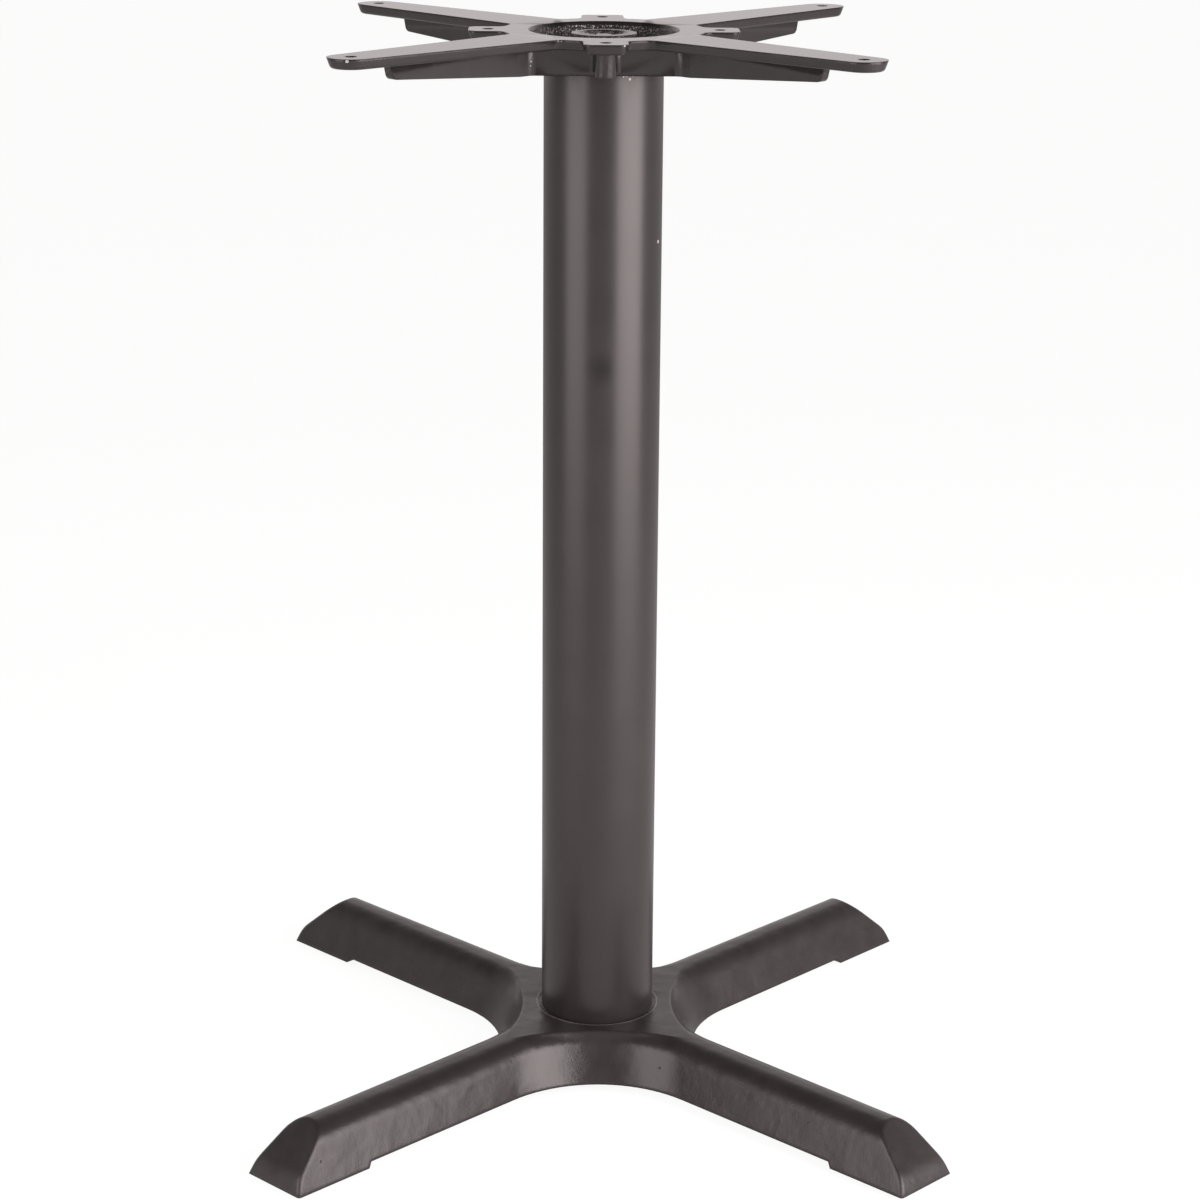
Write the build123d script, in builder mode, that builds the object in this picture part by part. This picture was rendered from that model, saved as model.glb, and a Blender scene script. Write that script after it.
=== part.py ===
from build123d import *
import os
from math import acos, asin, atan, cos, hypot, radians, sin, sqrt, tan

os.makedirs("parts", exist_ok=True)

# Cast iron table base, in millimetres. The floor is the XY plane, the column stands on the Z axis,
# and the arms of both castings lie on the diagonals between X and Y.
overall_height = 704.0

# Levelling glides, one under each foot
glide_inset = 29.0
glide_foot_diameter = 25.0
glide_foot_height = 3.7
glide_foot_chamfer = 0.8
glide_foot_floor = 1.5
glide_seat_gap = 0.3
stud_diameter = 8.0
stud_length = 24.0
stud_chamfer = 0.8
stud_hole_clearance = 0.08
stud_end_gap = 1.0
moulding_clearance = 0.05

# Base casting: four drafted arms with faceted feet and a flat hub
base_reach = 292.0
base_height = 35.5
base_wall = 6.0
arm_foot_width = 50.0
arm_root_width = 53.0
arm_draft = 19.4
arm_crown_radius = 16.0
valley_radius = 84.0
lip_height = 10.0
lip_bend_radius = 20.0
facet_slope = 41.8
foot_edge_radius = 2.2
pad_length = 58.8
pad_step = 3.5
pad_end_draft = 38.0
glide_boss_diameter = 22.0
hub_flat_reach = 100.0
hub_flat_inset = 0.5
hub_flat_depth = 6.0
hub_flat_edge_radius = 1.2
seat_margin = 3.0
seat_depth = 1.0
spigot_clearance = 0.4
spigot_height = 9.0
clamp_boss_diameter = 44.0
clamp_boss_drop = 8.0

# Column tube
tube_diameter = 76.2
tube_wall = 2.0
tube_edge_chamfer = 0.4

# Spider casting: a cross plate on a hub, with a web under each arm and a lug between arms
plate_thickness = 6.5
plate_draft = 20.0
plate_edge_radius = 2.4
screw_square = 300.0
screw_hole_diameter = 7.0
spider_tip_width = 29.0
spider_root_width = 49.0
hub_radius = 65.0
hub_width = 100.0
hub_depth = 23.0
crotch_radius = 6.0
web_thickness = 6.0
web_start = 50.0
web_reach = 185.0
web_lean = 3.0
web_tip_depth = 15.8
web_corner_radius = 4.0
web_fillet_radius = 7.0
lug_reach = 85.5
lug_width = 27.5
lug_corner_radius = 5.0
lug_hole_reach = 73.2
lug_hole_diameter = 6.8
lug_boss_width = 13.0
lug_boss_depth = 20.6
lug_boss_fillet_radius = 3.5
dish_diameter = 96.0
dish_depth = 9.0
dish_wall_depth = 4.5
dish_wall_run = 2.0
socket_roof_depth = 14.0
socket_clearance = 0.2
centre_boss_diameter = 41.5
centre_boss_drop = 1.9
clamp_floor_thickness = 7.0

# Tie rod with a nut and a washer at each end
rod_diameter = 12.0
rod_chamfer = 1.0
rod_tail = 3.0
rod_hole_clearance = 0.75
thread_clearance = 0.05
nut_width = 19.0
nut_height = 10.0
washer_diameter = 24.0
washer_thickness = 2.5
washer_clearance = 0.5
rod_top_drop = 1.2
nut_top_drop = 4.5

# Heights and radii that follow from the sizes above
pad_height = glide_foot_height + glide_seat_gap
base_top = pad_height + base_height
glide_reach = base_reach - glide_inset
arm_taper = atan((arm_root_width - arm_foot_width) / 2 / base_reach)
seat_height = base_top - seat_depth
tube_radius = tube_diameter / 2
tube_bore_radius = tube_radius - tube_wall
socket_roof = overall_height - socket_roof_depth
hub_bottom = overall_height - hub_depth
centre_boss_top = overall_height - centre_boss_drop
top_nut_top = centre_boss_top - nut_top_drop
clamp_floor = top_nut_top - nut_height - washer_thickness
lower_clamp_face = base_top - base_wall - clamp_boss_drop
bottom_nut_bottom = lower_clamp_face - washer_thickness - nut_height
rod_top = centre_boss_top - rod_top_drop
rod_bottom = bottom_nut_bottom - rod_tail
rod_hole_radius = rod_diameter / 2 + rod_hole_clearance
screw_reach = screw_square / sqrt(2)
arm_angles = [45, 135, 225, 315]


def outwards(angle, distance):
    """A point of the plan at a distance from the column's axis."""
    return (distance * cos(radians(angle)), distance * sin(radians(angle)))


def upright_plane(angle, height):
    """The plane through the column's axis in which x runs outwards at an angle and y runs upwards."""
    across = outwards(angle - 90, 1)
    return Plane(origin=(0, 0, height), x_dir=(*outwards(angle, 1), 0), z_dir=(*across, 0))


def corners_at(outline, distance):
    """The corners of an outline that lie at a distance from the column's axis."""
    return outline.vertices().filter_by(lambda corner: abs(hypot(corner.X, corner.Y) - distance) < 0.01)


def drafted_cross(inset):
    """The form of the base casting, or of its hollow when inset is the thickness of the wall."""
    reach = base_reach - inset
    foot_side = arm_foot_width / 2 - inset
    root_side = arm_root_width / 2 - inset
    height = base_height - inset
    with BuildPart() as cross:
        for turn in arm_angles[:2]:
            with BuildSketch(Plane.XY.offset(pad_height).rotated((0, 0, turn))):
                Polygon(
                    (reach, foot_side),
                    (0, root_side),
                    (-reach, foot_side),
                    (-reach, -foot_side),
                    (0, -root_side),
                    (reach, -foot_side),
                    align=None,
                )
            extrude(amount=height, taper=arm_draft)
        valleys = cross.edges().filter_by(lambda edge: abs(edge.center().Z - pad_height - height / 2) < 1)
        fillet(valleys.sort_by_distance((0, 0, pad_height))[:4], radius=valley_radius + inset)
        rim = cross.faces().sort_by(Axis.Z)[-1].edges().sort_by(SortBy.LENGTH)
        fillet(rim[4:], radius=arm_crown_radius - inset)
        # The end of each arm slopes down to a low upright lip
        for angle in arm_angles:
            lip = base_reach - lip_height * tan(radians(arm_draft)) - inset * sin(radians(facet_slope))
            lip_top = pad_height + lip_height - inset * cos(radians(facet_slope))
            slope_normal = (*outwards(angle, sin(radians(facet_slope))), cos(radians(facet_slope)))
            facet = Plane(origin=(*outwards(angle, lip), lip_top), z_dir=slope_normal)
            split(bisect_by=facet, keep=Keep.BOTTOM)
    return cross.part


def web_distance(height):
    """How far the wall between two arms of the base stands from the axis, at a height above the pads."""
    draft = radians(arm_draft)
    arm_side = (arm_root_width / 2 - height * tan(draft)) / (1 + tan(arm_taper))
    valley_lean = atan(sqrt(2) * tan(draft))
    half_turn = acos(sin(draft) ** 2 + cos(draft) ** 2 * sin(2 * arm_taper)) / 2
    return sqrt(2) * arm_side + valley_radius * (1 / cos(half_turn) - 1) / cos(valley_lean)


def rounds_foot(edge):
    """Whether an edge runs round the end of an arm, up a corner of its lip, its side or over its crown."""
    middle = edge.center()
    crosses_end = abs(abs(middle.X) - abs(middle.Y)) < 0.01 and middle.Z < base_top - foot_edge_radius
    off_floor = middle.Z > pad_height + 0.01
    return hypot(middle.X, middle.Y) > base_reach - base_height and off_floor and not crosses_end


base_cross = drafted_cross(0)
base_hollow = drafted_cross(base_wall)

# The flat of the hub is a four-pointed star with hollow sides, whose points run out along the arms
with BuildPart() as hub_flat:
    for drop in (hub_flat_depth, 0):
        waist = web_distance(base_height - drop) - hub_flat_inset
        point = hub_flat_reach + drop
        with BuildSketch(Plane.XY.offset(base_top - drop)):
            with BuildLine():
                for angle in arm_angles:
                    ThreePointArc(
                        outwards(angle, point), outwards(angle + 45, waist), outwards(angle + 90, point)
                    )
            make_face()
    loft(ruled=True)
    fillet(hub_flat.faces().sort_by(Axis.Z)[-1].edges(), radius=hub_flat_edge_radius)

# The hollow leaves a boss over each glide and one under the hub for the tie rod's nut
with BuildPart() as base_core:
    add(base_hollow)
    with BuildSketch(Plane.XY):
        with PolarLocations(glide_reach, len(arm_angles), start_angle=arm_angles[0]):
            Circle(glide_boss_diameter / 2)
    extrude(amount=base_top, mode=Mode.SUBTRACT)
    with BuildSketch(Plane.XY.offset(lower_clamp_face)):
        Circle(clamp_boss_diameter / 2)
    extrude(amount=base_top, mode=Mode.SUBTRACT)

with BuildPart() as base_casting:
    add(base_cross)
    # Each facet bends softly into its lip, and the edge round the end of each arm is eased
    lip_tops = base_casting.edges().filter_by(
        lambda edge: abs(edge.center().Z - pad_height - lip_height) < 0.01
    )
    fillet(lip_tops, radius=lip_bend_radius)
    fillet(base_casting.edges().filter_by(rounds_foot), radius=foot_edge_radius)
    add(hub_flat.part)
    # Only the feet reach down to the glides: the arms and hub stop a step higher
    step_side = 2 * (base_reach - pad_length)
    with BuildSketch(Plane.XY.offset(pad_height).rotated((0, 0, arm_angles[0]))):
        Rectangle(step_side, step_side)
    extrude(amount=pad_step, taper=pad_end_draft, mode=Mode.SUBTRACT)
    add(base_core.part, mode=Mode.SUBTRACT)
    # Threaded holes for the glides, drilled up from the foot pads
    with BuildSketch(Plane.XY.offset(pad_height)):
        with PolarLocations(glide_reach, len(arm_angles), start_angle=arm_angles[0]):
            Circle(stud_diameter / 2 + stud_hole_clearance)
    extrude(amount=glide_foot_floor + stud_length + stud_end_gap - pad_height, mode=Mode.SUBTRACT)
    # Machined seat for the column, with a spigot that centres it and the tie rod's hole
    with BuildSketch(Plane.XY.offset(seat_height)):
        Circle(tube_radius + seat_margin)
    extrude(amount=seat_depth, mode=Mode.SUBTRACT)
    with BuildSketch(Plane.XY.offset(seat_height)):
        Circle(tube_bore_radius - spigot_clearance)
    extrude(amount=spigot_height)
    with Locations((0, 0, seat_height + spigot_height)):
        Hole(rod_hole_radius)
base_casting.part.label = "base_casting"
export_step(base_casting.part, "parts/base_casting.step")

with BuildPart() as column_tube:
    with BuildSketch(Plane.XY.offset(seat_height)):
        Circle(tube_radius)
        Circle(tube_bore_radius, mode=Mode.SUBTRACT)
    extrude(amount=socket_roof - seat_height)
    ends = column_tube.faces().filter_by(Axis.Z).edges()
    chamfer(ends, length=tube_edge_chamfer)
column_tube.part.label = "column_tube"
export_step(column_tube.part, "parts/column_tube.step")

with BuildPart() as spider_casting:
    # The cross plate that the table top is screwed to: each arm's straight sides run into its round tip
    flank_turn = asin((spider_root_width - spider_tip_width) / 2 / screw_reach)
    root_side = spider_root_width / 2 * cos(flank_turn)
    tip_side = spider_tip_width / 2 * cos(flank_turn)
    tip_start = screw_reach + spider_tip_width / 2 * sin(flank_turn)
    with BuildSketch(Plane.XY.offset(overall_height)) as plate_outline:
        Circle(hub_radius)
        with PolarLocations(0, len(arm_angles), start_angle=arm_angles[0]):
            Polygon(
                (0, -root_side),
                (tip_start, -tip_side),
                (tip_start, tip_side),
                (0, root_side),
                align=None,
            )
        with PolarLocations(screw_reach, len(arm_angles), start_angle=arm_angles[0]):
            Circle(spider_tip_width / 2)
        RectangleRounded(2 * lug_reach, lug_width, lug_corner_radius)
        RectangleRounded(lug_width, 2 * lug_reach, lug_corner_radius)
        fillet(corners_at(plate_outline, hub_radius), radius=crotch_radius)
    extrude(amount=-plate_thickness, taper=plate_draft)
    fillet(spider_casting.faces().sort_by(Axis.Z)[0].edges(), radius=plate_edge_radius)
    # A square hub under the plate, rounded into the root of a web at each of its corners
    web_root = hub_width / sqrt(2) + web_thickness
    web_join = hypot(hub_width / 2, hub_width / 2 - web_thickness / sqrt(2))
    with BuildSketch(Plane.XY.offset(overall_height - plate_thickness / 2)) as hub_outline:
        Rectangle(hub_width, hub_width)
        for angle in arm_angles[:2]:
            Rectangle(2 * web_root, web_thickness, rotation=angle)
        fillet(corners_at(hub_outline, web_join), radius=web_fillet_radius)
    extrude(amount=-(hub_depth - plate_thickness / 2))
    # A screw boss under each lug, rounded into the side of the hub
    boss_join = hypot(hub_width / 2, lug_boss_width / 2)
    with BuildSketch(Plane.XY.offset(overall_height - plate_thickness / 2)) as boss_outline:
        Rectangle(hub_width, hub_width)
        for angle in arm_angles[:2]:
            SlotCenterToCenter(2 * lug_hole_reach, lug_boss_width, rotation=angle - arm_angles[0])
        fillet(corners_at(boss_outline, boss_join), radius=lug_boss_fillet_radius)
    extrude(amount=-(lug_boss_depth - plate_thickness / 2))
    # A web under each arm, deepest at the hub and rounded at its outer corner
    for angle in arm_angles:
        with BuildSketch(upright_plane(angle, overall_height)) as web:
            with BuildLine():
                Polyline(
                    (web_start, -plate_thickness / 2),
                    (web_reach, -plate_thickness / 2),
                    (web_reach - web_lean, -web_tip_depth),
                    (web_root, -hub_depth),
                    (web_start, -hub_depth),
                    close=True,
                )
            make_face()
            outer_corner = web.vertices().sort_by_distance((web_reach, -web_tip_depth))[0]
            fillet(outer_corner, radius=web_corner_radius)
        extrude(amount=web_thickness / 2, both=True)
    # The dish in the top, with the raised boss that the tie rod is clamped on
    with BuildSketch(upright_plane(0, overall_height)):
        with BuildLine():
            dish_side = Line((dish_diameter / 2, 0), (dish_diameter / 2 - dish_wall_run, -dish_wall_depth))
            bowl = TangentArc(dish_side @ 1, (centre_boss_diameter / 2, -dish_depth), tangent=dish_side % 1)
            Polyline(bowl @ 1, (0, -dish_depth), (0, 0), dish_side @ 0)
        make_face()
    revolve(axis=Axis.Z, mode=Mode.SUBTRACT)
    with BuildSketch(Plane.XY.offset(hub_bottom)):
        Circle(tube_radius + socket_clearance)
    extrude(amount=socket_roof - hub_bottom, mode=Mode.SUBTRACT)
    with BuildSketch(Plane.XY.offset(clamp_floor - clamp_floor_thickness)):
        Circle(centre_boss_diameter / 2)
    extrude(amount=centre_boss_top - clamp_floor + clamp_floor_thickness)
    with Locations((0, 0, centre_boss_top)):
        CounterBoreHole(
            radius=rod_hole_radius,
            counter_bore_radius=washer_diameter / 2 + washer_clearance,
            counter_bore_depth=centre_boss_top - clamp_floor,
        )
    # Screw holes at the arm tips and in the lugs
    with BuildSketch(Plane.XY.offset(overall_height)):
        with GridLocations(screw_square, screw_square, 2, 2):
            Circle(screw_hole_diameter / 2)
        with PolarLocations(lug_hole_reach, len(arm_angles)):
            Circle(lug_hole_diameter / 2)
    extrude(amount=-hub_depth, mode=Mode.SUBTRACT)
spider_casting.part.label = "spider_casting"
export_step(spider_casting.part, "parts/spider_casting.step")

with BuildPart() as tie_rod:
    with BuildSketch(Plane.XY.offset(rod_bottom)):
        Circle(rod_diameter / 2)
    extrude(amount=rod_top - rod_bottom)
    chamfer(tie_rod.edges().filter_by(GeomType.CIRCLE), length=rod_chamfer)
tie_rod.part.label = "tie_rod"
export_step(tie_rod.part, "parts/tie_rod.step")

nut_heights = {"top_nut": clamp_floor + washer_thickness, "bottom_nut": bottom_nut_bottom}
for nut_name, nut_base in nut_heights.items():
    with BuildPart() as nut:
        with BuildSketch(Plane.XY.offset(nut_base)):
            RegularPolygon(nut_width / 2, 6, major_radius=False)
            Circle(rod_diameter / 2 + thread_clearance, mode=Mode.SUBTRACT)
        extrude(amount=nut_height)
    nut.part.label = nut_name
    export_step(nut.part, f"parts/{nut_name}.step")

washer_heights = {"top_washer": clamp_floor, "bottom_washer": lower_clamp_face - washer_thickness}
for washer_name, washer_base in washer_heights.items():
    with BuildPart() as washer:
        with BuildSketch(Plane.XY.offset(washer_base)):
            Circle(washer_diameter / 2)
            Circle(rod_diameter / 2 + washer_clearance, mode=Mode.SUBTRACT)
        extrude(amount=washer_thickness)
    washer.part.label = washer_name
    export_step(washer.part, f"parts/{washer_name}.step")

for number, angle in enumerate(arm_angles, start=1):
    glide_place = Plane(origin=(*outwards(angle, glide_reach), 0))
    with BuildPart() as glide_stud:
        with BuildSketch(glide_place.offset(glide_foot_floor)):
            Circle(stud_diameter / 2)
        extrude(amount=stud_length)
        chamfer(glide_stud.faces().sort_by(Axis.Z)[-1].edges(), length=stud_chamfer)
    glide_stud.part.label = f"glide_stud_{number}"
    export_step(glide_stud.part, f"parts/glide_stud_{number}.step")

    with BuildPart() as glide_foot:
        with BuildSketch(glide_place):
            Circle(glide_foot_diameter / 2)
        extrude(amount=glide_foot_height)
        chamfer(glide_foot.faces().sort_by(Axis.Z)[0].edges(), length=glide_foot_chamfer)
        with BuildSketch(glide_place.offset(glide_foot_floor)):
            Circle(stud_diameter / 2 + moulding_clearance)
        extrude(amount=glide_foot_height, mode=Mode.SUBTRACT)
    glide_foot.part.label = f"glide_foot_{number}"
    export_step(glide_foot.part, f"parts/glide_foot_{number}.step")
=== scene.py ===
import math

import bmesh
import bpy
from mathutils import Matrix, Vector


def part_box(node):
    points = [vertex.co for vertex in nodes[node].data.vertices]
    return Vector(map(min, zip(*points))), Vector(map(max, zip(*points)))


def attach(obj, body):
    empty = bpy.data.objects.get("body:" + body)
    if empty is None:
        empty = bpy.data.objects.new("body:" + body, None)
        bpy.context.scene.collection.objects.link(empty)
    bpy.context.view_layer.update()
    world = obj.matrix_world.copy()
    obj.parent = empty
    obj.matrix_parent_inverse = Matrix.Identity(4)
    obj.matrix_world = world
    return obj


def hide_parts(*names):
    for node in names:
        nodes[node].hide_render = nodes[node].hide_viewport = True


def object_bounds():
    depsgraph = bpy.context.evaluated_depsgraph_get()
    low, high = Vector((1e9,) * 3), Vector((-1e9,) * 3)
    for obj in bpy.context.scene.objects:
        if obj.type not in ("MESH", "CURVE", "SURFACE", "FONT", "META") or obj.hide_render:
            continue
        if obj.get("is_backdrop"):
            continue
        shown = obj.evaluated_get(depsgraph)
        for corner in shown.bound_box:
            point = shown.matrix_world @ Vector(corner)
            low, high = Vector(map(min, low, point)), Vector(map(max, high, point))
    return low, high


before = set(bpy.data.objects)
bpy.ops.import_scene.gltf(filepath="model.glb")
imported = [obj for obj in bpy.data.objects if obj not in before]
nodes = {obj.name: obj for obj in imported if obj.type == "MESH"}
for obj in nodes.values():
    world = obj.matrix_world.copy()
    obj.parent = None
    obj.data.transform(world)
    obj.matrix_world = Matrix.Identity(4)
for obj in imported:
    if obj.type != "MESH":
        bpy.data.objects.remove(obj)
cad_low, cad_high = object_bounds()
scene = bpy.context.scene


# Levelling glide studs: four M8 zinc-plated steel studs with a rolled thread.
# Each one screws up into a boss under a foot, and its lower end is moulded into the glide's plastic foot.
def linear(hex_colour):
    """An sRGB hex colour as the linear colour that the shaders take."""
    levels = [int(hex_colour[i:i + 2], 16) / 255 for i in (1, 3, 5)]
    return [v / 12.92 if v <= 0.04045 else ((v + 0.055) / 1.055) ** 2.4 for v in levels] + [1.0]


def add(tree, kind, links=None, **settings):
    """Adds a node with its settings. links fills its inputs, by name or number, with values or other nodes."""
    node = tree.nodes.new(kind)
    for name, value in settings.items():
        setattr(node, name, value)
    for key, value in (links or {}).items():
        socket = node.inputs[key]
        if isinstance(key, str):
            socket = next(s for s in node.inputs if s.enabled and s.name == key)
        if isinstance(value, bpy.types.Node):
            value = next(s for s in value.outputs if s.enabled)
        if isinstance(value, bpy.types.NodeSocket):
            tree.links.new(value, socket)
        else:
            socket.default_value = value
    return node


def start_material(name):
    """A new material: its tree, its shader, and the piece's own Object coordinates."""
    material = bpy.data.materials.new(name)
    material.use_nodes = True
    tree = material.node_tree
    shader = tree.nodes["Principled BSDF"]
    return material, tree, shader, add(tree, "ShaderNodeTexCoord").outputs["Object"]


def start_tree(name, **sizes):
    """A new Geometry Nodes tree with a named input for each size, and the sockets that give them."""
    tree = bpy.data.node_groups.new(name, "GeometryNodeTree")
    for size, kind in sizes.items():
        tree.interface.new_socket(size, in_out="INPUT", socket_type="NodeSocket" + kind)
    tree.interface.new_socket("finish", in_out="INPUT", socket_type="NodeSocketMaterial")
    tree.interface.new_socket("mesh", in_out="OUTPUT", socket_type="NodeSocketGeometry")
    return tree, add(tree, "NodeGroupInput").outputs


def end_tree(tree, sizes, geometry):
    """Closes a tree: everything real, smooth and in its finish."""
    real = add(tree, "GeometryNodeRealizeInstances", {"Geometry": geometry})
    smooth = add(tree, "GeometryNodeSetShadeSmooth", {"Geometry": real})
    finished = add(tree, "GeometryNodeSetMaterial", {"Geometry": smooth, "Material": sizes["finish"]})
    add(tree, "NodeGroupOutput", {"mesh": finished})


def settle(mesh, sharp_angle):
    """Sews a mesh's loose corners, turns its faces outwards and keeps edges over sharp_angle crisp."""
    sewn = bmesh.new()
    sewn.from_mesh(mesh)
    bmesh.ops.remove_doubles(sewn, verts=sewn.verts, dist=2e-6)
    bmesh.ops.dissolve_degenerate(sewn, edges=sewn.edges, dist=1e-7)
    bmesh.ops.recalc_face_normals(sewn, faces=sewn.faces)
    sewn.to_mesh(mesh)
    sewn.free()
    mesh.shade_smooth()
    mesh.set_sharp_from_angle(angle=math.radians(sharp_angle))


def grow(name, tree, sharp_angle=35, **sizes):
    """Runs a tree with its inputs set and gives the result as an object with a plain mesh."""
    piece = bpy.data.objects.new(name, bpy.data.meshes.new(name))
    scene.collection.objects.link(piece)
    modifier = piece.modifiers.new("form", "NODES")
    modifier.node_group = tree
    for item in tree.interface.items_tree:
        if item.in_out == "INPUT":
            modifier[item.identifier] = sizes[item.name]
    grown = piece.evaluated_get(bpy.context.evaluated_depsgraph_get())
    mesh = bpy.data.meshes.new_from_object(grown)
    piece.modifiers.remove(modifier)
    piece.data = mesh
    settle(mesh, sharp_angle)
    return piece


# Zinc plate over rolled steel: pale, slightly blue grey metal, dulled in soft patches by its passivation.
zinc_plate, tree, shader, place = start_material("zinc_plated_steel")
zinc_patch_mm = 3.5
zinc_patches = add(tree, "ShaderNodeTexNoise", {"Vector": place, "Scale": 1000 / zinc_patch_mm, "Detail": 3.0})
zinc_tint = add(tree, "ShaderNodeMix", {
    "Factor": zinc_patches, "A": linear("#8d9094"), "B": linear("#bcbfc2")}, data_type="RGBA")
zinc_dulling = add(tree, "ShaderNodeMapRange", {"Value": zinc_patches, "To Min": 0.26, "To Max": 0.46})
tree.links.new(zinc_tint.outputs["Result"], shader.inputs["Base Color"])
tree.links.new(zinc_dulling.outputs["Result"], shader.inputs["Roughness"])
shader.inputs["Metallic"].default_value = 1.0

# A threaded bar: a grid rolled round the axis, with a helical ridge over a stretch at each end.
# Its first and last rows close on the axis, and each end has a 45 degree lead-in.
thread_tree, sizes = start_tree(
    "threaded_bar", diameter="Float", pitch="Float", length="Float", thread_length="Float",
    base="Vector", rows="Int", sides="Int")
sheet = add(thread_tree, "GeometryNodeMeshGrid", {
    "Size X": 1.0, "Size Y": 1.0, "Vertices X": sizes["sides"], "Vertices Y": sizes["rows"]})
sheet_place = add(thread_tree, "ShaderNodeSeparateXYZ", {0: add(thread_tree, "GeometryNodeInputPosition")})
turn = add(thread_tree, "ShaderNodeMath", {0: sheet_place.outputs["X"], 1: 0.5})
along = add(thread_tree, "ShaderNodeMapRange", {
    "Value": sheet_place.outputs["Y"], "From Min": -0.49, "From Max": 0.49})
shank = add(thread_tree, "ShaderNodeMath", {
    0: sizes["length"], 1: add(thread_tree, "ShaderNodeMath", {0: sizes["thread_length"], 1: 2.0},
                               operation="MULTIPLY")}, operation="SUBTRACT")
low_thread = add(thread_tree, "ShaderNodeMapRange", {
    "Value": along, "From Max": 0.49, "To Max": sizes["thread_length"]})
middle = add(thread_tree, "ShaderNodeMapRange", {
    "Value": along, "From Min": 0.49, "From Max": 0.51, "To Max": shank})
high_thread = add(thread_tree, "ShaderNodeMapRange", {
    "Value": along, "From Min": 0.51, "From Max": 1.0, "To Max": sizes["thread_length"]})
height = add(thread_tree, "ShaderNodeMath", {
    0: add(thread_tree, "ShaderNodeMath", {0: low_thread, 1: middle}), 1: high_thread})
end_gap = add(thread_tree, "ShaderNodeMath", {
    0: height, 1: add(thread_tree, "ShaderNodeMath", {0: sizes["length"], 1: height}, operation="SUBTRACT")},
    operation="MINIMUM")
helix = add(thread_tree, "ShaderNodeMath", {
    0: add(thread_tree, "ShaderNodeMath", {0: height, 1: sizes["pitch"]}, operation="DIVIDE"), 1: turn},
    operation="SUBTRACT")
groove = add(thread_tree, "ShaderNodeMath", {0: helix, 1: 0.5}, operation="PINGPONG")
is_threaded = add(thread_tree, "ShaderNodeMath", {0: end_gap, 1: sizes["thread_length"]}, operation="LESS_THAN")
thread_depth = add(thread_tree, "ShaderNodeMath", {
    0: add(thread_tree, "ShaderNodeMath", {0: groove, 1: sizes["pitch"]}, operation="MULTIPLY"),
    1: is_threaded}, operation="MULTIPLY")
full_radius = add(thread_tree, "ShaderNodeMath", {0: sizes["diameter"], 1: 0.5}, operation="MULTIPLY")
ridge = add(thread_tree, "ShaderNodeMath", {0: full_radius, 1: thread_depth}, operation="SUBTRACT")
root = add(thread_tree, "ShaderNodeMath", {
    0: full_radius, 1: add(thread_tree, "ShaderNodeMath", {0: sizes["pitch"], 1: 0.6}, operation="MULTIPLY")},
    operation="SUBTRACT")
lead_in = add(thread_tree, "ShaderNodeMath", {0: root, 1: end_gap})
side = add(thread_tree, "ShaderNodeMath", {0: ridge, 1: lead_in}, operation="MINIMUM")
inside_rows = add(thread_tree, "ShaderNodeMath", {
    0: add(thread_tree, "ShaderNodeMath", {0: sheet_place.outputs["Y"]}, operation="ABSOLUTE"), 1: 0.4999},
    operation="LESS_THAN")
radius = add(thread_tree, "ShaderNodeMath", {0: side, 1: inside_rows}, operation="MULTIPLY")
angle = add(thread_tree, "ShaderNodeMath", {0: turn, 1: math.tau}, operation="MULTIPLY")
rolled = add(thread_tree, "ShaderNodeCombineXYZ", {
    "X": add(thread_tree, "ShaderNodeMath", {
        0: radius, 1: add(thread_tree, "ShaderNodeMath", {0: angle}, operation="COSINE")}, operation="MULTIPLY"),
    "Y": add(thread_tree, "ShaderNodeMath", {
        0: radius, 1: add(thread_tree, "ShaderNodeMath", {0: angle}, operation="SINE")}, operation="MULTIPLY"),
    "Z": height})
bar = add(thread_tree, "GeometryNodeSetPosition", {
    "Geometry": sheet, "Position": rolled, "Offset": sizes["base"]})
end_tree(thread_tree, sizes, add(thread_tree, "GeometryNodeMergeByDistance", {
    "Geometry": bar, "Distance": 1e-6}))

stud_pitch = 0.00125
for number in range(1, 5):
    low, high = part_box(f"glide_stud_{number}")
    middle_point = (low + high) / 2
    stud = grow(
        f"levelling_stud_{number}", thread_tree, diameter=high.x - low.x, pitch=stud_pitch,
        length=high.z - low.z, thread_length=(high.z - low.z) / 2, base=(middle_point.x, middle_point.y, low.z),
        rows=140, sides=25, finish=zinc_plate)
    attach(stud, f"glide_{number}")
    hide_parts(f"glide_stud_{number}")


# Glide feet: black nylon discs, injection moulded round the studs, with a fine spark-eroded grain.
# They carry the base on the floor.
glide_nylon, tree, shader, place = start_material("moulded_black_nylon")
grain_mm = 0.9
nylon_grain = add(tree, "ShaderNodeTexNoise", {"Vector": place, "Scale": 1000 / grain_mm, "Detail": 2.0})
nylon_tint = add(tree, "ShaderNodeMix", {
    "Factor": nylon_grain, "A": linear("#161616"), "B": linear("#222221")}, data_type="RGBA")
nylon_bump = add(tree, "ShaderNodeBump", {"Height": nylon_grain, "Strength": 0.4, "Distance": 0.0001})
tree.links.new(nylon_tint.outputs["Result"], shader.inputs["Base Color"])
tree.links.new(nylon_bump.outputs["Normal"], shader.inputs["Normal"])
shader.inputs["Roughness"].default_value = 0.55
shader.inputs["IOR"].default_value = 1.53
for number in range(1, 5):
    nodes[f"glide_foot_{number}"].data.materials.clear()
    nodes[f"glide_foot_{number}"].data.materials.append(glide_nylon)


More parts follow.
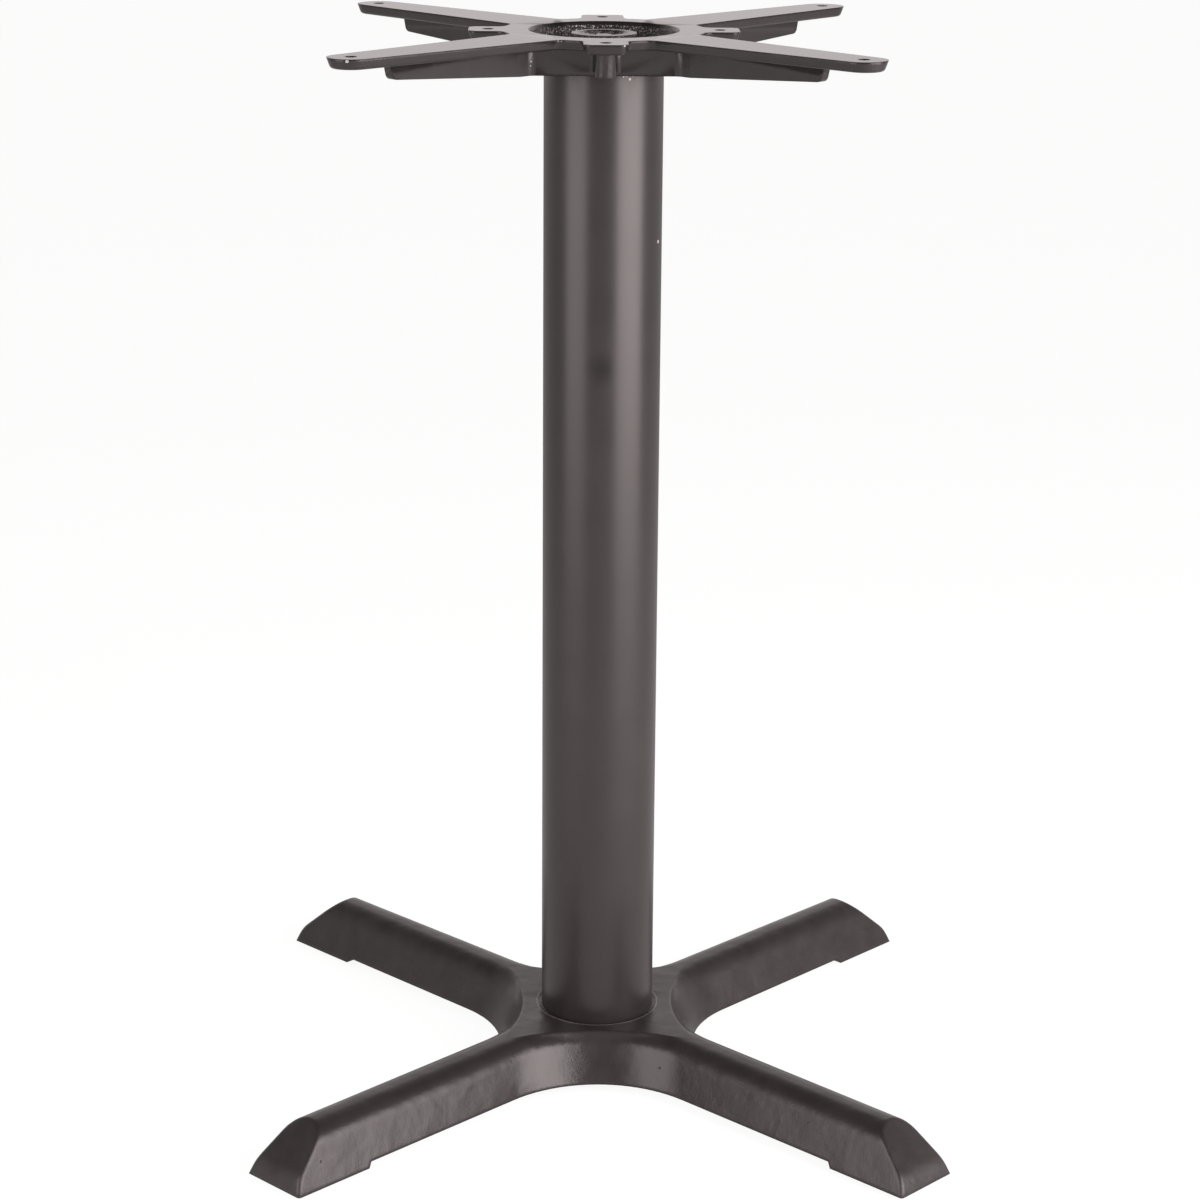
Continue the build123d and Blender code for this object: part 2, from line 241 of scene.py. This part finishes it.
# Base casting: one sand-cast iron cross, hollow underneath, with four drafted arms and a flat hub.
# It is fettled with upright strokes, shot-blasted and sprayed with satin black enamel, which rounds its sharp edges.
def enamel(name, dark, pale, edge_round, gloss_low, gloss_high):
    """Satin black enamel over sand-cast iron: a warm near-black skin that rounds the edges, with an uneven gloss."""
    material, tree, shader, place = start_material(name)
    mottle_mm = 14
    mottle = add(tree, "ShaderNodeTexNoise", {"Vector": place, "Scale": 1000 / mottle_mm, "Detail": 4.0})
    tint = add(tree, "ShaderNodeMix", {"Factor": mottle, "A": linear(dark), "B": linear(pale)}, data_type="RGBA")
    gloss = add(tree, "ShaderNodeMapRange", {"Value": mottle, "To Min": gloss_low, "To Max": gloss_high})
    tree.links.new(tint.outputs["Result"], shader.inputs["Base Color"])
    tree.links.new(gloss.outputs["Result"], shader.inputs["Roughness"])
    film = add(tree, "ShaderNodeBevel", {"Radius": edge_round}, samples=6)
    wave_mm, wave_depth = 20, 0.0006
    wave = add(tree, "ShaderNodeTexNoise", {"Vector": place, "Scale": 1000 / wave_mm, "Detail": 2.0})
    swell = add(tree, "ShaderNodeBump", {"Height": wave, "Strength": 1.0, "Distance": wave_depth, "Normal": film})
    stroke_mm, stroke_length_mm, stroke_depth = 1.3, 30, 0.00006
    strokes = add(tree, "ShaderNodeTexNoise", {
        "Vector": add(tree, "ShaderNodeVectorMath", {
            0: place, 1: (1000 / stroke_mm, 1000 / stroke_mm, 1000 / stroke_length_mm)}, operation="MULTIPLY"),
        "Scale": 1.0, "Detail": 3.0})
    facing = add(tree, "ShaderNodeSeparateXYZ", {0: add(tree, "ShaderNodeNewGeometry").outputs["Normal"]})
    upright = add(tree, "ShaderNodeMapRange", {"Value": facing.outputs["Z"], "From Min": 0.85, "From Max": 0.4})
    fettled = add(tree, "ShaderNodeBump", {
        "Height": strokes, "Strength": upright, "Distance": stroke_depth, "Normal": swell})
    sand_mm, sand_depth = 1.1, 0.00006
    sand = add(tree, "ShaderNodeTexNoise", {"Vector": place, "Scale": 1000 / sand_mm, "Detail": 3.0})
    skin = add(tree, "ShaderNodeBump", {"Height": sand, "Strength": 1.0, "Distance": sand_depth, "Normal": fettled})
    tree.links.new(skin.outputs["Normal"], shader.inputs["Normal"])
    return material, tree, shader, place, tint, gloss, (swell, fettled, skin)


def cast_copy(name, node, material):
    """A casting's own piece: its solid's mesh, sewn up, with flat faces that stay flat beside their roundings."""
    piece = bpy.data.objects.new(name, nodes[node].data.copy())
    scene.collection.objects.link(piece)
    settle(piece.data, 32)
    piece.data.materials.clear()
    piece.data.materials.append(material)
    flats = piece.modifiers.new("flats", "WEIGHTED_NORMAL")
    flats.keep_sharp = True
    return piece


base_finish = {"dark": "#272424", "pale": "#353131", "gloss_low": 0.25, "gloss_high": 0.38}
base_enamel, tree, shader, place, tint, *_ = enamel("satin_enamel_on_cast_base", edge_round=0.003, **base_finish)
# The arris of the tube's seat is painted as a thin pale line: partly worn paint, partly a painted highlight of the
# edge.
seat_radius, arris_width, arris_highlight_and_wear = 0.0411, 0.0007, 0.55
from_axis = add(tree, "ShaderNodeVectorMath", {
    0: add(tree, "ShaderNodeVectorMath", {0: place, 1: (1, 1, 0)}, operation="MULTIPLY")}, operation="LENGTH")
arris = add(tree, "ShaderNodeMath", {
    0: from_axis.outputs["Value"], 1: seat_radius, 2: arris_width}, operation="COMPARE")
# Painted highlight and wear: the seat's arris mixed towards a pale colour.
worn_and_highlit_arris = add(tree, "ShaderNodeMix", {
    "Factor": add(tree, "ShaderNodeMath", {0: arris, 1: arris_highlight_and_wear}, operation="MULTIPLY"), "A": tint,
    "B": linear("#a9a4a2")}, data_type="RGBA")
tree.links.new(worn_and_highlit_arris.outputs["Result"], shader.inputs["Base Color"])
base = cast_copy("cast_cross_base", "base_casting", base_enamel)
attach(base, "frame")
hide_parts("base_casting")

# Sand nodules: small round pimples of iron that the sand mould leaves on the casting's sides.
# They are part of the casting, under the same enamel, which is too thin to round them further.
nodule_tree, sizes = start_tree(
    "sand_nodules", surface="Object", per_square_metre="Float", smallest="Float", largest="Float", seed="Int")
skin_mesh = add(nodule_tree, "GeometryNodeObjectInfo", {"Object": sizes["surface"]})
facing = add(nodule_tree, "ShaderNodeSeparateXYZ", {0: add(nodule_tree, "GeometryNodeInputNormal")})
is_side = add(nodule_tree, "FunctionNodeCompare", {
    "A": facing.outputs["Z"], "B": 0.3, "Epsilon": 0.28}, data_type="FLOAT", operation="EQUAL")
seeds = add(nodule_tree, "GeometryNodeDistributePointsOnFaces", {
    "Mesh": skin_mesh.outputs["Geometry"], "Selection": is_side, "Density": sizes["per_square_metre"],
    "Seed": sizes["seed"]})
grain_size = add(nodule_tree, "FunctionNodeRandomValue", {
    "Min": sizes["smallest"], "Max": sizes["largest"], "Seed": sizes["seed"]}, data_type="FLOAT")
pimple = add(nodule_tree, "GeometryNodeMeshIcoSphere", {"Radius": 1.0, "Subdivisions": 2})
flat_pimple = add(nodule_tree, "GeometryNodeTransform", {
    "Geometry": pimple.outputs["Mesh"], "Scale": (1.0, 1.0, 0.4)})
pimples = add(nodule_tree, "GeometryNodeInstanceOnPoints", {
    "Points": seeds.outputs["Points"], "Instance": flat_pimple, "Rotation": seeds.outputs["Rotation"],
    "Scale": add(nodule_tree, "ShaderNodeCombineXYZ", {"X": grain_size, "Y": grain_size, "Z": grain_size})})
end_tree(nodule_tree, sizes, pimples)
nodule_enamel, *_ = enamel("satin_enamel_on_sand_nodules", edge_round=0.0, **base_finish)
nodules = grow(
    "sand_nodules", nodule_tree, sharp_angle=180, surface=base, per_square_metre=150.0, smallest=0.0004,
    largest=0.0011, seed=7, finish=nodule_enamel)
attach(nodules, "frame")


# Column: one length of round welded steel tube, sprayed with the same satin enamel, smoother than on the castings.
# It stands in the base's seat and goes up into the spider's socket. Handling left a dull smudge and nicks.
def nicked_and_glinting(tree, place, coat, nicks):
    """The colour of a coat with small pale spots, each a place and a radius: chips where knocks bared its pale primer,
    and painted glints.
    """
    for nick_place, nick_radius in nicks:
        from_nick = add(tree, "ShaderNodeVectorMath", {0: place, 1: nick_place}, operation="DISTANCE")
        bare = add(tree, "ShaderNodeMath", {0: from_nick.outputs["Value"], 1: nick_radius}, operation="LESS_THAN")
        coat = add(tree, "ShaderNodeMix", {
            "Factor": bare, "A": coat.outputs["Result"], "B": linear("#aeaaa8")}, data_type="RGBA")
    return coat


tube_enamel, tree, shader, place = start_material("satin_enamel_on_steel_tube")
mottle_mm = 40
mottle = add(tree, "ShaderNodeTexNoise", {"Vector": place, "Scale": 1000 / mottle_mm, "Detail": 5.0})
tint = add(tree, "ShaderNodeMix", {
    "Factor": mottle, "A": linear("#282525"), "B": linear("#332f2f")}, data_type="RGBA")
gloss = add(tree, "ShaderNodeMapRange", {"Value": mottle, "To Min": 0.28, "To Max": 0.36})
smudge_place, smudge_size = Vector((0.001, -0.038, 0.494)), 0.014
from_smudge = add(tree, "ShaderNodeVectorMath", {0: place, 1: smudge_place}, operation="DISTANCE")
ragged = add(tree, "ShaderNodeMath", {
    0: from_smudge.outputs["Value"], 1: add(tree, "ShaderNodeMapRange", {
        "Value": mottle, "To Min": -0.012, "To Max": 0.012})})
smudge = add(tree, "ShaderNodeMapRange", {
    "Value": ragged, "From Min": smudge_size, "From Max": 0.003, "To Max": 0.7})
smudged = add(tree, "ShaderNodeMix", {
    "Factor": smudge, "A": tint.outputs["Result"], "B": linear("#0f0d0d")}, data_type="RGBA")
coat = nicked_and_glinting(tree, place, smudged, (
    ((0.0352, -0.0145, 0.5718), 0.0012), ((0.0137, -0.0355, 0.6795), 0.0007), ((0.0158, -0.0347, 0.6772), 0.0008),
    ((0.0176, -0.0338, 0.6794), 0.0006), ((0.0118, -0.0362, 0.6789), 0.0005)))
tree.links.new(coat.outputs["Result"], shader.inputs["Base Color"])
tree.links.new(gloss.outputs["Result"], shader.inputs["Roughness"])
peel_mm, peel_depth = 1.6, 0.000012
peel = add(tree, "ShaderNodeTexNoise", {"Vector": place, "Scale": 1000 / peel_mm, "Detail": 2.0})
skin = add(tree, "ShaderNodeBump", {"Height": peel, "Strength": 1.0, "Distance": peel_depth})
tree.links.new(skin.outputs["Normal"], shader.inputs["Normal"])

# A ring: a rounded rectangle swept round the axis. Where flats is under its width, it is cut to a chamfered hexagon.
ring_tree, sizes = start_tree(
    "turned_ring", outer="Float", bore="Float", height="Float", edge="Float", flats="Float",
    base="Vector", sides="Int")
wall = add(ring_tree, "ShaderNodeMath", {
    0: add(ring_tree, "ShaderNodeMath", {0: sizes["outer"], 1: sizes["bore"]}, operation="SUBTRACT"), 1: 0.5},
    operation="MULTIPLY")
mean_radius = add(ring_tree, "ShaderNodeMath", {
    0: add(ring_tree, "ShaderNodeMath", {0: sizes["outer"], 1: sizes["bore"]}), 1: 0.25}, operation="MULTIPLY")
section = add(ring_tree, "GeometryNodeCurvePrimitiveQuadrilateral", {"Width": wall, "Height": sizes["height"]})
section = add(ring_tree, "GeometryNodeFilletCurve", {
    "Curve": section, "Count": 3, "Radius": sizes["edge"]}, mode="POLY")
section = add(ring_tree, "GeometryNodeSubdivideCurve", {"Curve": section, "Cuts": 5})
hoop = add(ring_tree, "GeometryNodeCurvePrimitiveCircle", {
    "Resolution": sizes["sides"], "Radius": mean_radius}, mode="RADIUS")
ring = add(ring_tree, "GeometryNodeCurveToMesh", {"Curve": hoop, "Profile Curve": section})
place = add(ring_tree, "GeometryNodeInputPosition")
spot = add(ring_tree, "ShaderNodeSeparateXYZ", {0: place})
radius = add(ring_tree, "ShaderNodeVectorMath", {
    0: add(ring_tree, "ShaderNodeVectorMath", {0: place, 1: (1, 1, 0)}, operation="MULTIPLY")}, operation="LENGTH")
angle = add(ring_tree, "ShaderNodeMath", {0: spot.outputs["Y"], 1: spot.outputs["X"]}, operation="ARCTAN2")
from_flat = add(ring_tree, "ShaderNodeMath", {
    0: add(ring_tree, "ShaderNodeMath", {0: angle, 1: math.pi / 3}, operation="FLOORED_MODULO"),
    1: math.pi / 6}, operation="SUBTRACT")
half_flats = add(ring_tree, "ShaderNodeMath", {0: sizes["flats"], 1: 0.5}, operation="MULTIPLY")
flat_radius = add(ring_tree, "ShaderNodeMath", {
    0: half_flats, 1: add(ring_tree, "ShaderNodeMath", {0: from_flat}, operation="COSINE")}, operation="DIVIDE")
cut_radius = add(ring_tree, "ShaderNodeMath", {0: radius.outputs["Value"], 1: flat_radius}, operation="MINIMUM")
squeeze = add(ring_tree, "ShaderNodeMath", {0: cut_radius, 1: radius.outputs["Value"]}, operation="DIVIDE")
past_chamfer = add(ring_tree, "ShaderNodeMath", {
    0: add(ring_tree, "ShaderNodeMath", {
        0: cut_radius, 1: add(ring_tree, "ShaderNodeMath", {0: half_flats, 1: 0.95}, operation="MULTIPLY")},
        operation="SUBTRACT"), 1: 0.0}, operation="MAXIMUM")
headroom = add(ring_tree, "ShaderNodeMath", {
    0: add(ring_tree, "ShaderNodeMath", {0: sizes["height"], 1: 0.5}, operation="MULTIPLY"),
    1: add(ring_tree, "ShaderNodeMath", {0: past_chamfer, 1: math.tan(math.radians(30))}, operation="MULTIPLY")},
    operation="SUBTRACT")
depthroom = add(ring_tree, "ShaderNodeMath", {0: headroom, 1: -1.0}, operation="MULTIPLY")
level = add(ring_tree, "ShaderNodeClamp", {"Value": spot.outputs["Z"], "Min": depthroom, "Max": headroom})
cut_place = add(ring_tree, "ShaderNodeCombineXYZ", {
    "X": add(ring_tree, "ShaderNodeMath", {0: spot.outputs["X"], 1: squeeze}, operation="MULTIPLY"),
    "Y": add(ring_tree, "ShaderNodeMath", {0: spot.outputs["Y"], 1: squeeze}, operation="MULTIPLY"), "Z": level})
end_tree(ring_tree, sizes, add(ring_tree, "GeometryNodeSetPosition", {
    "Geometry": ring, "Position": cut_place, "Offset": sizes["base"]}))

no_flats = 1.0
tube_wall = 0.002
low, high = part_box("column_tube")
column = grow(
    "column_tube_skin", ring_tree, outer=high.x - low.x, bore=high.x - low.x - 2 * tube_wall,
    height=high.z - low.z, edge=0.0001, flats=no_flats, base=(0.0, 0.0, (low.z + high.z) / 2), sides=192,
    finish=tube_enamel)
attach(column, "frame")
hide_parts("column_tube")


# Spider casting: one sand-cast iron cross plate with a web under each arm, four lugs and a dished hub.
# Its top is ground flat before the same satin enamel, which has chipped along the rim; here the enamel has darker
# colours than on the base as painted shade, with painted glints at the hub's corner.
# The dish is left as cast, and its rough grains are rubbed to bare iron.
# Darker colours than the base's enamel: painted shade on the spider's walls.
spider_enamel, tree, shader, place, tint, gloss, reliefs = enamel(
    "satin_enamel_on_cast_spider", "#1e1b1b", "#2a2727", edge_round=0.0022, gloss_low=0.16, gloss_high=0.28)
ground_depth, ground_gloss, ground_relief = 0.0003, 0.17, 0.05
height_up = add(tree, "ShaderNodeSeparateXYZ", {0: place}).outputs["Z"]
ground_flat = add(tree, "ShaderNodeMath", {0: height_up, 1: cad_high.z - ground_depth}, operation="GREATER_THAN")
top_gloss = add(tree, "ShaderNodeMix", {"Factor": ground_flat, "A": gloss, "B": ground_gloss})
relief = add(tree, "ShaderNodeMapRange", {"Value": ground_flat, "To Min": 1.0, "To Max": ground_relief})
for bump in reliefs:
    tree.links.new(relief.outputs["Result"], bump.inputs["Strength"])
dish_radius, below_boss, pebble_mm, pebble_depth, dish_roughness = 0.0479, 0.0023, 1.2, 0.0009, 0.12
from_axis = add(tree, "ShaderNodeVectorMath", {
    0: add(tree, "ShaderNodeVectorMath", {0: place, 1: (1, 1, 0)}, operation="MULTIPLY")}, operation="LENGTH")
in_dish = add(tree, "ShaderNodeMath", {0: from_axis.outputs["Value"], 1: dish_radius}, operation="LESS_THAN")
in_dish = add(tree, "ShaderNodeMath", {
    0: in_dish, 1: add(tree, "ShaderNodeMath", {0: height_up, 1: cad_high.z - below_boss}, operation="LESS_THAN")},
    operation="MULTIPLY")
pebbles = add(tree, "ShaderNodeTexNoise", {"Vector": place, "Scale": 1000 / pebble_mm, "Detail": 3.0})
dish_gloss = add(tree, "ShaderNodeMix", {"Factor": in_dish, "A": top_gloss, "B": dish_roughness})
tree.links.new(dish_gloss.outputs["Result"], shader.inputs["Roughness"])
rubbed = add(tree, "ShaderNodeMapRange", {"Value": pebbles, "From Min": 0.54, "From Max": 0.62, "To Max": 0.8})
bare_iron = add(tree, "ShaderNodeMath", {0: rubbed, 1: in_dish}, operation="MULTIPLY")
tree.links.new(bare_iron.outputs["Value"], shader.inputs["Metallic"])
glinting = add(tree, "ShaderNodeMix", {"Factor": bare_iron, "A": tint, "B": linear("#b4b0ad")}, data_type="RGBA")
# The last two spots, at the hub's corner under the web, are painted glints; the others are chips bared to the primer.
coat = nicked_and_glinting(tree, place, glinting, (
    ((-0.1514, -0.164, 0.703), 0.001), ((0.0114, -0.0847, 0.7035), 0.0006), ((-0.029, -0.0599, 0.7034), 0.0004),
    ((-0.027, -0.0595, 0.7032), 0.0004), ((-0.0455, -0.0505, 0.6898), 0.0005), ((-0.0459, -0.0507, 0.6872), 0.0004)))
tree.links.new(coat.outputs["Result"], shader.inputs["Base Color"])
pebbled = add(tree, "ShaderNodeBump", {
    "Height": pebbles, "Strength": in_dish, "Distance": pebble_depth, "Normal": reliefs[-1]})
tree.links.new(pebbled.outputs["Normal"], shader.inputs["Normal"])
spider = cast_copy("cast_top_spider", "spider_casting", spider_enamel)
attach(spider, "frame")
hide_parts("spider_casting")


# Tie rod: a zinc-plated steel bar with an M12 thread rolled at both ends.
# It runs down the column and clamps the spider and the base on the tube.
low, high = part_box("tie_rod")
rod = grow(
    "tie_rod_bar", thread_tree, diameter=high.x - low.x, pitch=0.00175, length=high.z - low.z,
    thread_length=0.045, base=(0.0, 0.0, low.z), rows=420, sides=33, finish=zinc_plate)
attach(rod, "frame")
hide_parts("tie_rod")


# Washers and nuts: zinc-plated steel, stamped and cold formed, one of each at both ends of the tie rod.
# The upper pair sits in the spider's centre boss, and the lower pair bears on the boss under the base's hub.
rod_bore, nut_flats = 0.0121, 0.019
for end in ("top", "bottom"):
    low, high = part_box(f"{end}_washer")
    washer = grow(
        f"{end}_flat_washer", ring_tree, outer=high.x - low.x, bore=rod_bore + 0.0009, height=high.z - low.z,
        edge=0.0004, flats=no_flats, base=(0.0, 0.0, (low.z + high.z) / 2), sides=96, finish=zinc_plate)
    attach(washer, "frame")
    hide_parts(f"{end}_washer")
    low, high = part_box(f"{end}_nut")
    nut = grow(
        f"{end}_hex_nut", ring_tree, outer=high.x - low.x, bore=rod_bore, height=high.z - low.z,
        edge=0.0003, flats=nut_flats, base=(0.0, 0.0, (low.z + high.z) / 2), sides=96, finish=zinc_plate)
    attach(nut, "frame")
    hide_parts(f"{end}_nut")


# The studio: a plain pale matt floor under two softboxes, with a white surround.
# The floor shows white to the camera, keeps the shadow, and is clear from below so that the underside can be seen.
floor_paint = bpy.data.materials.new("pale_studio_floor")
floor_paint.use_nodes = True
tree = floor_paint.node_tree
tree.nodes.clear()
seen = add(tree, "ShaderNodeLightPath")
seen_white = add(tree, "ShaderNodeMath", {0: seen.outputs["Is Camera Ray"], 1: 0.8}, operation="MULTIPLY")
white_share = add(tree, "ShaderNodeMath", {
    0: seen.outputs["Is Glossy Ray"], 1: 0.2, 2: seen_white}, operation="MULTIPLY_ADD")
matt = add(tree, "ShaderNodeBsdfDiffuse", {"Color": linear("#f2f1f0")})
white = add(tree, "ShaderNodeEmission", {"Color": (1, 1, 1, 1), "Strength": 1.15})
paint = add(tree, "ShaderNodeMixShader", {0: white_share, 1: matt, 2: white})
add(tree, "ShaderNodeOutputMaterial", {"Surface": add(tree, "ShaderNodeMixShader", {
    0: add(tree, "ShaderNodeNewGeometry").outputs["Backfacing"], 1: paint, 2: add(tree, "ShaderNodeBsdfTransparent")})})
floor_mesh = bpy.data.meshes.new("studio_floor")
floor_reach = 14
floor_mesh.from_pydata(
    [(-floor_reach, -floor_reach, 0), (floor_reach, -floor_reach, 0),
     (floor_reach, floor_reach, 0), (-floor_reach, floor_reach, 0)], [], [(0, 1, 2, 3)])
floor_mesh.materials.append(floor_paint)
floor = bpy.data.objects.new("studio_floor", floor_mesh)
scene.collection.objects.link(floor)
floor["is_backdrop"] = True

surround = bpy.data.worlds.new("white_surround")
scene.world = surround
surround.use_nodes = True
tree = surround.node_tree
tree.nodes.clear()
seen = add(tree, "ShaderNodeLightPath")
way = add(tree, "ShaderNodeSeparateXYZ", {0: add(tree, "ShaderNodeTexCoord").outputs["Generated"]})
wall_level = add(tree, "ShaderNodeMapRange", {
    "Value": way.outputs["Y"], "From Min": 0.2, "From Max": 0.75, "To Min": 0.35, "To Max": 1.0})
gloss_level = add(tree, "ShaderNodeMapRange", {
    "Value": way.outputs["Z"], "From Min": 0.4, "From Max": 0.75, "To Min": wall_level, "To Max": 0.08})
warm_white = linear("#fff6f6")
room = add(tree, "ShaderNodeBackground", {"Color": warm_white, "Strength": 0.26})
mirror_room = add(tree, "ShaderNodeBackground", {"Color": warm_white, "Strength": gloss_level})
backdrop = add(tree, "ShaderNodeBackground", {"Color": (1, 1, 1, 1), "Strength": 1.0})
reflected = add(tree, "ShaderNodeMath", {
    0: seen.outputs["Is Glossy Ray"], 1: seen.outputs["Is Transmission Ray"]}, operation="MAXIMUM")
lit = add(tree, "ShaderNodeMixShader", {0: reflected, 1: room, 2: mirror_room})
add(tree, "ShaderNodeOutputWorld", {
    "Surface": add(tree, "ShaderNodeMixShader", {0: seen.outputs["Is Camera Ray"], 1: lit, 2: backdrop})})


def softbox(name, turn_from_camera, distance, height, width, tall, watts):
    """A soft lamp that faces the column, turned about it from the camera's side by an angle in degrees."""
    lamp = bpy.data.lights.new(name, "AREA")
    lamp.shape = "RECTANGLE"
    lamp.size, lamp.size_y = width, tall
    lamp.energy = watts
    lamp.color = linear("#fff4f3")[:3]
    stand = bpy.data.objects.new(name, lamp)
    scene.collection.objects.link(stand)
    turn = math.radians(turn_from_camera)
    stand.location = (distance * math.sin(turn), -distance * math.cos(turn), height)
    aim = Vector((0, 0, height)) - stand.location
    stand.rotation_euler = aim.to_track_quat("-Z", "Y").to_euler()


softbox("right_softbox", 53, 1.6, 0.72, 1.55, 1.3, 43)
softbox("left_softbox", -53, 1.6, 0.72, 1.2, 1.3, 16.5)


# The camera stands where the photographer's did: a little above the table base, looking down along the column.
eye = Vector((0.0001, -1.9855, 0.9242))
pitch = math.radians(16.703)
roll = math.radians(0.43)
turn_about_column = Matrix.Rotation(math.radians(-0.88), 4, "Z")
right = Vector((1, 0, 0))
up = Vector((0, math.sin(pitch), math.cos(pitch)))
ahead = Vector((0, math.cos(pitch), -math.sin(pitch)))
axes = Matrix((
    right * math.cos(roll) + up * math.sin(roll), up * math.cos(roll) - right * math.sin(roll), -ahead)).transposed()
camera = bpy.data.objects.new("camera", bpy.data.cameras.new("camera"))
scene.collection.objects.link(camera)
camera.matrix_world = turn_about_column @ Matrix.Translation(eye) @ axes.to_4x4()
camera.data.sensor_width = 36
camera.data.lens = 93.5
scene.camera = camera
scene.view_settings.view_transform = "Standard"

low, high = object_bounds()
